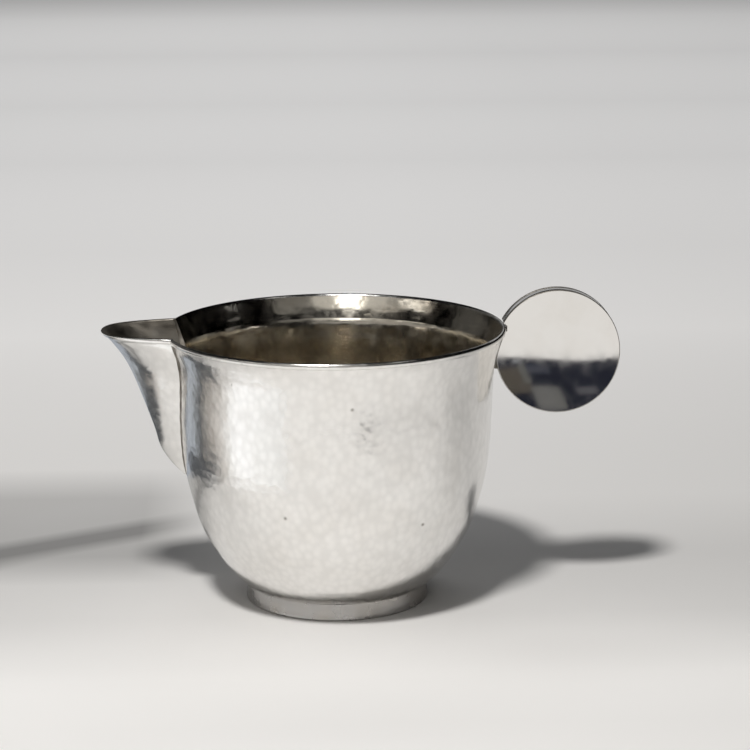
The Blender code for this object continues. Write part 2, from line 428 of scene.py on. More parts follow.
@dataclass(frozen=True)
class JugFrame:
    """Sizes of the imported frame, in millimetres from the bowl's axis."""

    axis_x: float
    rim_top: float
    rim_radius: float
    foot_radius: float
    disc_x: float
    disc_z: float
    disc_radius: float
    disc_half: float
    spout_top: float

    @classmethod
    def read(cls) -> "JugFrame":
        """Reads the boxes of the frame's nodes."""
        bowl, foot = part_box("bowl"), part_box("foot_ring")
        plate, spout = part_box("handle_back_plate"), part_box("spout")
        axis = (foot[0].x + foot[1].x) / 2.0
        radius = (plate[1].z - plate[0].z) / 2.0
        return cls(axis_x=axis / MM, rim_top=bowl[1].z / MM, rim_radius=(bowl[1].x - axis) / MM,
                   foot_radius=(foot[1].x - axis) / MM, disc_x=(plate[1].x - radius - axis) / MM,
                   disc_z=(plate[1].z - radius) / MM, disc_radius=radius / MM,
                   disc_half=plate[1].y / MM, spout_top=spout[1].z / MM)

    def place(self, obj: bpy.types.Object, slot: str, *nodes: str) -> bpy.types.Object:
        """Fixes a piece to the frame.

        Args:
            obj: the piece.
            slot: not used.
            nodes: CAD nodes that it stands for.
        Returns:
            The piece.
        """
        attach(obj, BODY)
        if nodes:
            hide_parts(*nodes)
        LOG.info("%s: %d faces", obj.name, len(obj.data.polygons))
        return obj


@dataclass(frozen=True)
class HammerMarks:
    """Planishing blows on a surface that is laid out as (arc, height) in millimetres.

    Each point takes the flat of its nearest blow: curve times the distance squared, plus a
    small tilt of that blow; the blows sit in the cells of a grid, moved at random.
    """

    across: float = 1.85
    along: float = 2.45
    curve: float = 0.012
    tilt: float = 0.006
    salt: float = 3.0

    def depth(self, arc: Array, height: Array, full_turn: float) -> Array:
        """Height of the marked surface.

        Args:
            arc: distance round the body.
            height: distance up the wall.
            full_turn: the arc of a whole turn, where the pattern closes.
        Returns:
            The height in millimetres, near zero on average.
        """
        around = round(full_turn / self.across)
        u, v = arc / full_turn * around, height / self.along
        best = np.full(np.broadcast(u, v).shape, 1e9)
        lean = np.zeros_like(best)
        for step in range(9):
            i, j = np.floor(u) + step % 3 - 1, np.floor(v) + step // 3 - 1
            cell = np.mod(i, around)
            jitter = [0.72 * (scatter(cell, j, self.salt + k) - 0.5) for k in (0, 1)]
            du = (u - i - 0.5 - jitter[0] - 0.5 * np.mod(j, 2)) * self.across
            dv = (v - j - 0.5 - jitter[1]) * self.along
            near = du ** 2 + dv ** 2
            turn = 2.0 * math.pi * scatter(cell, j, self.salt + 5.0)
            slope = self.tilt * (du * np.cos(turn) + dv * np.sin(turn))
            lean = np.where(near < best, slope, lean)
            best = np.minimum(best, near)
        return self.curve * best + lean - 0.5 * self.curve


@dataclass
class SpoutLine:
    """The spout's keel (distance from the bowl's axis) and half width by height."""

    heights: tuple = (31.5, 33.3, 34.8, 36.4, 38.5, 42.4, 46.0, 52.4, 58.2, 62.3, 65.8, 68.5)
    keel: tuple = (38.2, 40.0, 41.25, 42.4, 43.6, 44.75, 45.9, 48.2, 50.5, 52.8, 55.5, 57.6)
    width: tuple = (0.45, 1.25, 1.95, 2.75, 3.7, 5.1, 6.3, 8.3, 10.3, 11.85, 12.75, 12.84)
    inner_step: float = 1.2     # how far the bowl's cut edge stays inside the spout

    def within(self, height: Array) -> Array:
        """The height, kept between the lowest and the highest of the list."""
        return np.clip(height, self.heights[0], self.heights[-1])

    def keel_at(self, height: Array) -> Array:
        """Smooth line through the keel's distances."""
        return spline(self.heights, self.keel, self.within(height))

    def width_at(self, height: Array) -> Array:
        """Smooth line through the half widths."""
        return spline(self.heights, self.width, self.within(height))

    def opening_at(self, height: Array) -> Array:
        """Half width of the V that is cut out of the bowl, zero below its point."""
        return np.where(height > self.bottom, np.clip(self.width_at(height) - self.inner_step,
                                                     0.0, None), 0.0)

    @property
    def bottom(self) -> float:
        """Height of the point of the V."""
        return self.heights[1]


@dataclass
class Bowl:
    """The raised bowl: a turned wall with a thickened rim, a ridge inside below the lip and
    a V cut out behind the spout."""

    jug: JugFrame
    line: SpoutLine
    heights: tuple = (2.3, 2.45, 2.95, 3.9, 5.2, 7.0, 10.0, 14.0, 19.0, 25.0, 32.0,
                      40.0, 50.0, 57.2, 59.6, 62.0, 64.4, 66.6)
    radii: tuple = (0.0, 15.0, 19.2, 22.0, 23.9, 25.75, 28.3, 30.9, 33.55, 35.5, 37.15,
                    38.1, 38.65, 38.98, 39.3, 39.85, 40.6, 41.35)
    wall: float = 0.95
    ridge: tuple = (38.75, 62.4)
    bead: float = 1.35          # height of the thickened rim
    columns: int = 440
    rows_low: int = 78
    rows_high: int = 74
    rim_rows: int = 9
    lip_points: int = 60        # of the inner line between rim and ridge
    girth: float = 38.5         # radius on which the hammer marks are laid out
    calm_lip: tuple = (64.8, 66.4)
    swell: tuple = ((0.050, 3, 0.06, 0.4), (0.035, 7, 0.11, 1.7), (0.022, 13, 0.19, 2.9),
                    (0.012, 22, 0.31, 4.2))     # size, turns, climb and shift of each wave
    marks: HammerMarks = HammerMarks()
    marks_inside: HammerMarks = HammerMarks(3.1, 5.2, 0.006, 0.009, 11.0)

    def __post_init__(self) -> None:
        """Works out the dense outer line once."""
        self.outer = rounded(np.stack([self.radii, self.heights], 1), 3000)

    def radius_at(self, height: Array) -> Array:
        """Outer radius of the wall at a height."""
        return np.interp(height, self.outer[:, 1], self.outer[:, 0])

    def rim_line(self) -> Array:
        """The bead from the outer wall over the top to the inner lip."""
        r, z = self.jug.rim_radius - 0.02, self.jug.rim_top
        low = z - self.bead
        return rounded([(r - 0.52, low - 0.25), (r - 0.24, low), (r - 0.03, low + 0.3),
                        (r, z - 0.62), (r - 0.14, z - 0.22), (r - 0.5, z),
                        (r - 0.86, z - 0.16), (r - 1.08, z - 0.55)], 2 * self.rim_rows)

    def inner_line(self) -> Array:
        """The inner line from below the rim over the ridge down to the axis: the outer line
        moved inwards by the wall, up to the ridge."""
        step = np.gradient(self.outer, axis=0)
        step /= np.linalg.norm(step, axis=1)[:, None]
        inside = self.outer + self.wall * np.stack([-step[:, 1], step[:, 0]], 1)
        inside[:, 0] = np.clip(inside[:, 0], 0.0, None)
        inside[0, 0] = 0.0
        (r, z), start = self.ridge, self.rim_line()[-1]
        below = inside[inside[:, 1] < z - 4.5][::-1]
        lip = [(start[0] - 0.12, start[1] - 0.4), (r + 1.25, z + 2.9), (r, z)]
        under = rounded([(r, z), (r - 0.24, z - 0.9), (r - 0.45, z - 2.4), below[0],
                         below[150]], 120)
        return np.concatenate([rounded(lip, self.lip_points), under[1:-1], below[151:]])

    def turned(self, line: Array, columns: int) -> tuple[Array, Array, Array]:
        """Turns the line round the axis; where the V is cut the angle runs only from the
        arcsine of (opening / radius) to a whole turn less that.

        Args:
            line: (radius, height) of each row.
            columns: spans of each row.
        Returns:
            The points, the angle of each and the angles' unit vectors.
        """
        radius, height = line[:, :1], line[:, 1:]
        opening = np.where(radius > 20.0, self.line.opening_at(height), 0.0)
        start = np.arcsin(np.clip(opening / np.maximum(radius, 1.0), 0.0, 0.9))
        angle = start + (2.0 * math.pi - 2.0 * start) * np.linspace(0.0, 1.0, columns + 1)
        out = np.stack([-np.cos(angle), -np.sin(angle), np.zeros_like(angle)], -1)
        points = out * radius[:, :, None]
        points[:, :, 2] = height
        return points, angle, out

    def waves(self, angle: Array, height: Array) -> Array:
        """Slow unevenness of a wall raised by hand: four waves round and up the body."""
        return sum(size * np.sin(turns * angle + up * height * 2.0 + shift)
                   * np.cos(up * height + 2.0 * shift) for size, turns, up, shift in self.swell)

    def shaped(self, line: Array, columns: int, size: float, marks: HammerMarks) -> Array:
        """Turned points moved along the wall's normal by the hammer marks and the waves.

        Args:
            line: (radius, height) of each row.
            columns: spans of each row.
            size: how strong the marks and the waves are; negative inside.
            marks: the blows.
        Returns:
            The points.
        """
        points, angle, out = self.turned(line, columns)
        along = np.gradient(line, axis=0)
        along /= np.maximum(np.linalg.norm(along, axis=1), 1e-9)[:, None]
        climb = lengths(line)[:, None]
        lift = marks.depth(angle * self.girth, climb, 2.0 * math.pi * self.girth)
        lift = (lift + self.waves(angle, climb)) * ease(line[:, :1], 8.0, 22.0)
        lift *= (1.0 - ease(line[:, 1:], *self.calm_lip)) * size
        points += out * (lift * along[:, 1:])[:, :, None]
        points[:, :, 2] -= lift * along[:, :1]
        return points

    def build(self) -> bpy.types.Object:
        """Builds the closed shell.

        Returns:
            The bowl.
        """
        rim, inner = self.rim_line(), self.inner_line()
        cut = int(np.searchsorted(self.outer[:, 1], self.line.bottom))
        low = spaced(self.outer[:cut + 1], self.rows_low)
        high = spaced(self.outer[cut:-60], self.rows_high)
        split = int(np.argmax(inner[:, 1] < self.line.bottom))
        in_high = spaced(inner[:split + 1], self.rows_high, lengths(inner)[self.lip_points - 1])
        in_low = spaced(inner[split:], self.rows_low // 2)
        outer_rows = np.concatenate([low[:-1], high, rim[:self.rim_rows]])
        inner_rows = np.concatenate([rim[self.rim_rows:], in_high, in_low[1:]])
        sheet = Sheet(self.jug.axis_x)
        out_ids = sheet.grid(self.shaped(outer_rows, self.columns, 1.0, self.marks))
        in_ids = sheet.grid(self.shaped(inner_rows, self.columns // 2, -0.8, self.marks_inside))
        sheet.quads(out_ids, 0)
        sheet.halve(out_ids[-1], in_ids[0], 0)
        sheet.quads(in_ids[:self.rim_rows], 0)
        sheet.quads(in_ids[self.rim_rows - 1:], 1)
        first, count = self.rows_low - 1, self.rows_high + self.rim_rows
        for column in (0, -1):
            sheet.quads(np.stack([out_ids[first:first + count, column],
                                  in_ids[:count, column][::-1]]), 2)
        return sheet.piece("raised_bowl", [Finish.HAMMERED.made(), Finish.INSIDE.made(),
                                           Finish.SOLDER.made()])

    def dress(self) -> None:
        """Places the bowl in the frame."""
        self.jug.place(self.build(), "bowl", "bowl")


@dataclass
class Spout:
    """The spout: one sheet folded along the keel, with a bead along its lip."""

    jug: JugFrame
    line: SpoutLine
    bowl: Bowl
    sheet_mm: float = 0.95
    bead: float = 1.25
    bead_out: float = 0.34
    flare: float = 0.8
    columns: int = 150
    rows: int = 96
    lip_rows: int = 9
    sunk: float = 0.12          # how far the sheet's ends reach into the bowl's wall
    soft: float = 0.1           # roundness of the fold along the keel
    solder: float = 0.27

    def section(self, height: Array, inset: Array, pinch: Array) -> Array:
        """Level sections for all rows at once.

        Across the sheet s runs from -1 to 1, y is width times s, and the distance from the
        axis falls from the keel to the bowl by a share of s: low down a blunt fold,
        0.56 (sqrt(s^2 + 0.01) - sqrt 0.01) scaled to 1 plus 0.44 |s|^5, that turns into
        0.35 s^2 + 0.65 |s|^5 at the lip. The flanks are drawn in by
        pinch times (|s| (1 - |s|) 4)^0.8 towards the middle.

        Args:
            height: height of each row.
            inset: how far each row lies inside the outer face.
            pinch: how far the flanks of each row are drawn in.
        Returns:
            The points by row and by s.
        """
        height, inset, pinch = (a[:, None] for a in (height, inset, pinch))
        slope = self.line.keel_at(height + 0.5) - self.line.keel_at(height - 0.5)
        keel = self.line.keel_at(height) - inset * np.hypot(1.0, slope)
        width = self.line.width_at(height) - inset
        reach = self.bowl.radius_at(np.minimum(height, self.bowl.heights[-1])) - self.sunk
        landing = np.sqrt(reach ** 2 - width ** 2)
        s = np.linspace(-1.0, 1.0, self.columns + 1)[None]
        fold = np.sqrt(s ** 2 + self.soft ** 2) - self.soft
        fold /= math.hypot(1.0, self.soft) - self.soft
        fold = 0.56 * fold + 0.44 * np.abs(s) ** 5
        blunt = 0.35 * s ** 2 + 0.65 * np.abs(s) ** 5
        lift = np.clip((height - 54.0) / 14.4, 0.0, 1.0) ** 1.8
        share = (1.0 - lift) * fold + lift * blunt
        drawn = pinch * (4.0 * np.abs(s) * (1.0 - np.abs(s))) ** 0.8
        x = -(keel - (keel - landing) * share) + 0.35 * drawn
        y = np.sign(s) * (width * np.abs(s) - drawn)
        return np.stack([x, y, np.broadcast_to(height, x.shape)], -1)

    def lip_line(self) -> tuple[Array, Array]:
        """Height and inset of each row: up the outer face, out over the bead's step, round
        the lip's half circle and down the inner face.

        Returns:
            The heights and the insets.
        """
        top = self.jug.spout_top
        step, half = top - self.bead, (self.sheet_mm + 0.15) / 2.0
        low = spaced(np.array([[self.line.heights[0], 0.0], [step - 0.1, 0.0]]), self.rows)[:, 0]
        outer = np.stack([low, np.full_like(low, self.bead_out)], 1)
        knee = rounded([(step - 0.1, self.bead_out), (step + 0.08, 0.16),
                        (step + 0.3, 0.03), (top - half, 0.0)], self.lip_rows + 1)[1:]
        turn = np.linspace(0.0, math.pi, 2 * self.lip_rows + 1)[1:]
        arc = np.stack([top - half + half * np.sin(turn), half - half * np.cos(turn)], 1)
        down = np.linspace(top - half - 0.15, 33.95, self.rows + 1)
        thick = self.bead_out + self.sheet_mm
        inset = 2.0 * half + (thick - 2.0 * half) * ease(top - down, 0.3, 1.8)
        line = np.concatenate([outer, knee, arc, np.stack([down, inset], 1)])
        return line[:, 0], line[:, 1]

    def build(self) -> bpy.types.Object:
        """Builds the closed sheet.

        Returns:
            The spout.
        """
        height, inset = self.lip_line()
        pinch = self.flare * ease(height, 54.0, 63.0) * (1.0 - ease(height, 63.9, 67.9))
        points = self.section(height, inset, pinch)
        s = np.linspace(-1.0, 1.0, self.columns + 1)[None]
        wave = 0.06 * np.sin(0.22 * height[:, None] + 2.0 * s) * np.sin(5.0 * s + 1.0)
        points[:, :, 1] += wave * (1.0 - np.abs(s)) * (1.0 - ease(height, 62.0, 66.0))[:, None]
        sheet = Sheet(self.jug.axis_x)
        ids = sheet.grid(points)
        half = len(height) // 2
        sheet.quads(ids[:half + 3], 0)
        sheet.quads(ids[half + 2:], 1)
        sheet.quads(np.stack([ids[0], ids[-1]]), 0)
        for column in (0, -1):
            sheet.quads(np.stack([ids[:half, column], ids[half:, column][::-1]]), 0)
        return sheet.piece("folded_spout", [Finish.HAMMERED.made(), Finish.THROAT.made()])

    def seam(self) -> bpy.types.Object:
        """The line of solder along both legs and round the point: a thin tube whose middle
        follows the edge of the spout's outer face on the bowl.

        Returns:
            The seam.
        """
        rise = np.linspace(66.9, 31.6, 150)
        rise = np.concatenate([rise, rise[::-1]])
        width = np.repeat([-1.0, 1.0], 150) * (self.line.width_at(rise) - 0.22)
        radius = self.bowl.radius_at(rise) + 0.02
        path = spaced(np.stack([-np.sqrt(radius ** 2 - width ** 2), width, rise], 1), 420)
        along = np.gradient(path, axis=0)
        along /= np.linalg.norm(along, axis=1)[:, None]
        out = path * np.array([1.0, 1.0, 0.0])
        out /= np.linalg.norm(out, axis=1)[:, None]
        cross = np.cross(along, out)
        turn = np.linspace(0.0, 2.0 * math.pi, 12, endpoint=False)[None, :, None]
        at = lengths(path)
        thick = self.solder + 0.05 * np.sin(at * 1.3) * np.sin(at * 0.37)
        ring = np.cos(turn) * cross[:, None] + np.sin(turn) * out[:, None]
        sheet = Sheet(self.jug.axis_x)
        tube(sheet, path[:, None] + ring * thick[:, None, None])
        return sheet.piece("spout_solder", [Finish.SOLDER.made()])

    def dress(self) -> None:
        """Places the spout and its seam in the frame."""
        self.jug.place(self.build(), "spout", "spout")
        self.jug.place(self.seam(), "spout")


@dataclass
class FootRing:
    """The foot: a turned strip that spreads towards the table."""

    jug: JugFrame
    bowl: Bowl
    top_radius: float = 21.95
    sheet_mm: float = 1.3
    untrue: float = 0.03
    columns: int = 300

    def turned(self, line: Array) -> bpy.types.Object:
        """Turns a closed line of (radius, height) round the axis, slightly out of true.

        Args:
            line: the section, not repeated at its end.
        Returns:
            The strip.
        """
        line = np.concatenate([line, line[:1]])
        angle = np.linspace(0.0, 2.0 * math.pi, self.columns + 1)[None]
        radius = line[:, :1] + self.untrue * (np.sin(2.0 * angle + 0.6) - 1.0)
        points = np.stack([radius * np.cos(angle), radius * np.sin(angle),
                           np.broadcast_to(line[:, 1:], radius.shape)], -1)
        sheet = Sheet(self.jug.axis_x)
        sheet.quads(sheet.grid(points))
        return sheet.piece("foot_band", [Finish.FOOT.made()], 50.0)

    def top_at(self, radius: Array) -> Array:
        """Height of the bowl's underside above a radius."""
        return np.interp(radius, self.bowl.outer[:, 0], self.bowl.outer[:, 1])

    def dress(self) -> None:
        """Builds and places the strip."""
        r, top = self.jug.foot_radius, self.top_radius
        outer = rounded([(r - 0.32, self.top_at(r - 0.32) - 0.03), (r - 0.25, 2.3),
                         (r - 0.16, 1.4), (r - 0.06, 0.5), (r - 0.01, 0.2),
                         (r - 0.06, 0.04), (r - 0.25, 0.0)], 26)
        inner = r - self.sheet_mm
        under = rounded([(inner + 0.2, 0.0), (inner, 0.15), (top - 1.1, 1.3),
                         (top - 1.12, self.top_at(top - 1.12) + 0.02)], 12)
        self.jug.place(self.turned(np.concatenate([outer, under])), "foot_ring", "foot_ring")


@dataclass
class DiscHandle:
    """The hollow disc: two plates on an edge strip, cut to the bowl's lip, and a neck."""

    jug: JugFrame
    bowl: Bowl
    plate: float = 0.9
    easing: float = 0.17
    dish: float = 0.10          # how far the plates are hollowed in the middle
    strip: float = 0.9
    strip_inset: float = 0.05
    warp: float = 0.008         # height of the slow waves in the plates
    clear: float = 0.16
    neck_span: tuple = (57.2, 66.2)
    neck_half: float = 1.35
    columns: int = 360
    face_rows: int = 42         # rows of a plate's polished face

    def reach(self, limit: float, depth: float) -> tuple[Array, Array]:
        """How far the disc reaches at each angle: the circle, or the first point that comes
        within the clearance of the bowl's wall.

        Args:
            limit: the circle's radius.
            depth: distance from the jug's middle plane, where the wall is read.
        Returns:
            The angles round the disc and the reach at each.
        """
        turn = np.linspace(0.0, 2.0 * math.pi, self.columns + 1)
        along = np.linspace(0.0, limit, 900)
        x = self.jug.disc_x + along[:, None] * np.cos(turn)
        z = self.jug.disc_z + along[:, None] * np.sin(turn)
        wall = np.maximum(self.bowl.radius_at(z), np.where(
            z > self.jug.rim_top - self.bowl.bead, self.jug.rim_radius, 0.0))
        edge = np.sqrt((wall + self.clear) ** 2 - depth ** 2)
        blocked = (x < edge) & (z < self.jug.rim_top + self.clear)
        first = np.where(blocked.any(0), blocked.argmax(0), len(along) - 1)
        return turn, along[np.maximum(first - 1, 0)]

    def lathed(self, rows: list[tuple[float, float, float]], limit: float, depth: float,
               name: str, finish: Finish, dish: float = 0.0) -> bpy.types.Object:
        """Closed surface round the disc's middle: each row lies at share times the reach,
        less an inset, and at its own y; a dished face also has slow waves.

        Args:
            rows: (share, inset, y) of each row.
            limit: radius of the untrimmed circle.
            depth: where the bowl's wall is read.
            name: the piece's name.
            finish: its finish; rows behind the face take the dark solder finish, which paints a
                line of shade along the plate's rim.
            dish: how far the middle lies off the edge along y.
        Returns:
            The piece.
        """
        turn, reach = self.reach(limit, depth)
        share, inset, y = (np.array(rows)[:, k][:, None] for k in range(3))
        radius = np.maximum(share * reach - inset, 0.0)
        x, z = radius * np.cos(turn), radius * np.sin(turn)
        wave = np.sin(0.21 * x + 0.13 * z + 0.5) * np.sin(0.17 * z - 0.08 * x + 1.1)
        warp = self.warp if dish else 0.0
        level = y + warp * wave * (1.0 - (radius / limit) ** 4) \
            + dish * (1.0 - (radius / limit) ** 2)
        points = np.stack([x + self.jug.disc_x, level, z + self.jug.disc_z], -1)
        sheet = Sheet(self.jug.axis_x)
        numbers = sheet.grid(points)
        sheet.quads(numbers[:self.face_rows])
        if self.face_rows < len(rows):
            # Rows behind the face: painted shade along the plate's rim.
            sheet.quads(numbers[self.face_rows - 1:], 1)
        return sheet.piece(name, [finish.made(), Finish.SOLDER.made()], 50.0)

    def plate_rows(self, side: float) -> list[tuple[float, float, float]]:
        """Rows of one plate: its flat face, a quarter circle of easing, its edge and its
        back."""
        face, e = self.jug.disc_half, self.easing
        rows = [(k, 0.0, side * face) for k in np.linspace(0.0, 0.96, self.face_rows - 2)]
        rows.append((1.0, e + 0.06, side * face))
        for a in np.radians(np.linspace(0.0, 90.0, 7)):
            rows.append((1.0, e - e * math.sin(a), side * (face - e + e * math.cos(a))))
        back = face - self.plate
        rows += [(1.0, 0.0, side * (back + 0.1)), (1.0, 0.1, side * back)]
        return rows + [(k, 0.0, side * back) for k in (0.7, 0.3, 0.0)]

    def strip_rows(self) -> list[tuple[float, float, float]]:
        """Rows of the edge strip: a flat band with eased corners, closed on itself."""
        half, e = self.jug.disc_half - self.plate - 0.02, 0.12
        ring = [(0.0, -half + e), (0.0, -0.4), (0.0, 0.4), (0.0, half - e), (e, half),
                (self.strip, half), (self.strip, 0.0), (self.strip, -half), (e, -half),
                (0.0, -half + e)]
        return [(1.0, inset, y) for inset, y in ring]

    def neck(self) -> bpy.types.Object:
        """The filler between wall and disc: level sections shaped as a rounded oblong from
        the wall to the disc's edge, smaller at both ends.

        Returns:
            The neck.
        """
        rise = np.linspace(*self.neck_span, 40)
        drop = rise - self.jug.disc_z
        across = np.sqrt(np.clip(self.jug.disc_radius ** 2 - drop ** 2, 0.0, None))
        wall = self.bowl.radius_at(rise)
        right = np.maximum(self.jug.disc_x - across, wall + self.clear) + 0.45
        left = wall - 0.05
        turn = np.linspace(0.0, 2.0 * math.pi, 24, endpoint=False)
        bulge = [np.sign(f) * np.abs(f) ** 0.5 for f in (np.cos(turn), np.sin(turn))]
        end = np.sqrt(np.clip(1.0 - np.abs(np.linspace(-1.0, 1.0, 40)) ** 14, 0.05, 1.0))
        x = ((left + right) / 2.0)[:, None] + ((right - left) / 2.0 * end)[:, None] * bulge[0]
        y = (self.neck_half * end)[:, None] * bulge[1]
        sheet = Sheet(self.jug.axis_x)
        tube(sheet, np.stack([x, y, np.broadcast_to(rise[:, None], x.shape)], -1))
        # The neck's dark finish paints the shade of its recess behind the disc.
        return sheet.piece("disc_neck", [Finish.SOLDER.made()])

    def dress(self) -> None:
        """Builds and places the plates, the strip and the neck."""
        radius, half = self.jug.disc_radius, self.jug.disc_half
        for side, word in ((-1.0, "front"), (1.0, "back")):
            obj = self.lathed(self.plate_rows(side), radius, half, f"disc_{word}_plate",
                              Finish.POLISHED, -side * self.dish)
            self.jug.place(obj, f"handle_{word}_plate", f"handle_{word}_plate")
        obj = self.lathed(self.strip_rows(), radius - self.strip_inset, 1.0,
                          "disc_edge_strip", Finish.EDGE)
        self.jug.place(obj, "handle_edge_band", "handle_edge_band")
        self.jug.place(self.neck(), "handle_neck", "handle_neck")


# ---------------------------------------------------------------- studio


def hidden_from_camera(name: str, points: Array, faces: list, material: bpy.types.Material) \
        -> bpy.types.Object:
    """Makes a stage object, from points in metres, that only reflections see."""
    mesh = bpy.data.meshes.new(name)
    mesh.from_pydata(np.asarray(points).tolist(), [], faces)
    mesh.materials.append(material)
    obj = linked(name, mesh)
    obj.visible_camera = obj.visible_diffuse = obj.visible_shadow = False
    return obj


def upright(name: str, x: float, radius: float, height: float, limits: tuple[float, float],
            spans: int, material: bpy.types.Material) -> bpy.types.Object:
    """Upright arc: points (x + r sin a, -r cos a) at the floor and at the top.

    Args:
        name: its name.
        x: where its middle stands.
        radius: its radius in metres.
        height: its height.
        limits: the first and the last angle, from the front to the right.
        spans: flat faces along it.
        material: its material.
    Returns:
        The arc, hidden from the camera.
    """
    turn = np.linspace(*limits, spans + 1)
    foot = np.stack([x + radius * np.sin(turn), -radius * np.cos(turn), 0.0 * turn], 1)
    points = np.concatenate([foot, foot + [0.0, 0.0, height]])
    faces = [(k, k + 1, k + spans + 2, k + spans + 1) for k in range(spans)]
    return hidden_from_camera(name, points, faces, material)


@dataclass(frozen=True)
class Card:
    """A flat card that only reflections see: its middle, what it faces, its width and
    height, and its light."""

    name: str
    middle: tuple[float, float, float]
    facing: tuple[float, float, float]
    size: tuple[float, float]
    colour: Colour
    strength: float = 1.0

    @classmethod
    def around(cls, name: str, place: tuple[float, float, float], size: tuple[float, float],
               strength: float, x: float) -> "Card":
        """A warm card round the jug.

        Args:
            name: its name.
            place: azimuth from the front, to the right, elevation and distance.
            size: width and height in degrees as the jug sees them.
            strength: its light.
            x: where the bowl's axis stands.
        Returns:
            The card, turned to the rim.
        """
        azimuth, elevation = math.radians(place[0]), math.radians(place[1])
        rim = Vector((x, 0.0, 0.06))
        out = Vector((math.sin(azimuth) * math.cos(elevation),
                      -math.cos(azimuth) * math.cos(elevation), math.sin(elevation)))
        wide, high = (2.0 * place[2] * math.tan(math.radians(a) / 2.0) for a in size)
        return cls(name, rim + out * place[2], rim, (wide, high), (1.0, 0.97, 0.92), strength)

    def build(self) -> bpy.types.Object:
        """Makes the card, its corners in the plane that faces the target."""
        towards = (Vector(self.facing) - Vector(self.middle)).normalized()
        side = Vector((0.0, 0.0, 1.0)).cross(towards)
        side = side.normalized() if side.length > 0.01 else Vector((1.0, 0.0, 0.0))
        rise = towards.cross(side)
        w, h = self.size[0] / 2.0, self.size[1] / 2.0
        corners = [Vector(self.middle) + side * (i * w) + rise * (j * h)
                   for i, j in ((-1, -1), (1, -1), (1, 1), (-1, 1))]
        light = Nodes(self.name).glow(self.colour, self.strength)
        return hidden_from_camera(self.name, corners, [(0, 1, 2, 3)], light)


@dataclass(frozen=True)
class SidePanel:
    """Upright arc to the left of the jug that only reflections see; it glows with a painted
    reflection of the surroundings on that side, its tone going by the azimuth round the bowl, with
    a dark band along the floor."""

    radius: float = 0.112
    height: float = 0.037
    band_top: float = 0.0105
    band_soft: float = 0.0015
    # The dark band and its tone paint the reflection of a dark object low on the floor to the left.
    band: tuple[float, float, float, float] = (-131.0, -127.0, -89.0, -84.0)
    band_tone: Colour = (0.072, 0.076, 0.082)
    tones: tuple = (
        (-152.0, (0.30, 0.32, 0.36)), (-135.0, (0.38, 0.41, 0.46)), (-113.0, (0.41, 0.44, 0.48)),
        (-109.0, (0.34, 0.36, 0.38)), (-106.0, (0.12, 0.125, 0.13)), (-100.0, (0.095, 0.095, 0.10)),
        (-97.5, (0.24, 0.23, 0.21)), (-93.0, (0.36, 0.335, 0.31)), (-87.0, (0.46, 0.43, 0.40)),
        (-80.0, (0.64, 0.61, 0.58)), (-75.0, (0.74, 0.72, 0.69)), (-73.0, (1.0, 1.0, 0.99)),
        (-66.0, (1.1, 1.1, 1.1)), (-50.0, (1.0, 1.0, 0.99)), (-32.0, (0.88, 0.875, 0.86)))

    def build(self, x: float) -> bpy.types.Object:
        """Makes the panel round the bowl's axis, which stands at x."""
        nodes = Nodes("side_panel")
        place = nodes.axes()
        azimuth = nodes.maths("ARCTAN2", nodes.maths("SUBTRACT", place["X"], x),
                              nodes.maths("MULTIPLY", place["Y"], -1.0))
        stops = [(math.radians(a), colour) for a, colour in self.tones]
        edges = [math.radians(a) for a in self.band]
        low = nodes.span(place["Z"], (self.band_top, self.band_top + self.band_soft), (1.0, 0.0))
        left = nodes.span(azimuth, edges[:2], (0.0, 1.0))
        right = nodes.span(azimuth, edges[2:], (1.0, 0.0))
        share = nodes.maths("MULTIPLY", low, nodes.maths("MULTIPLY", left, right))
        light = nodes.glow(nodes.mix(share, nodes.ramp(azimuth, stops), self.band_tone))
        limits = (stops[0][0], stops[-1][0])
        return upright("side_panel", x, self.radius, self.height, limits, 40, light)


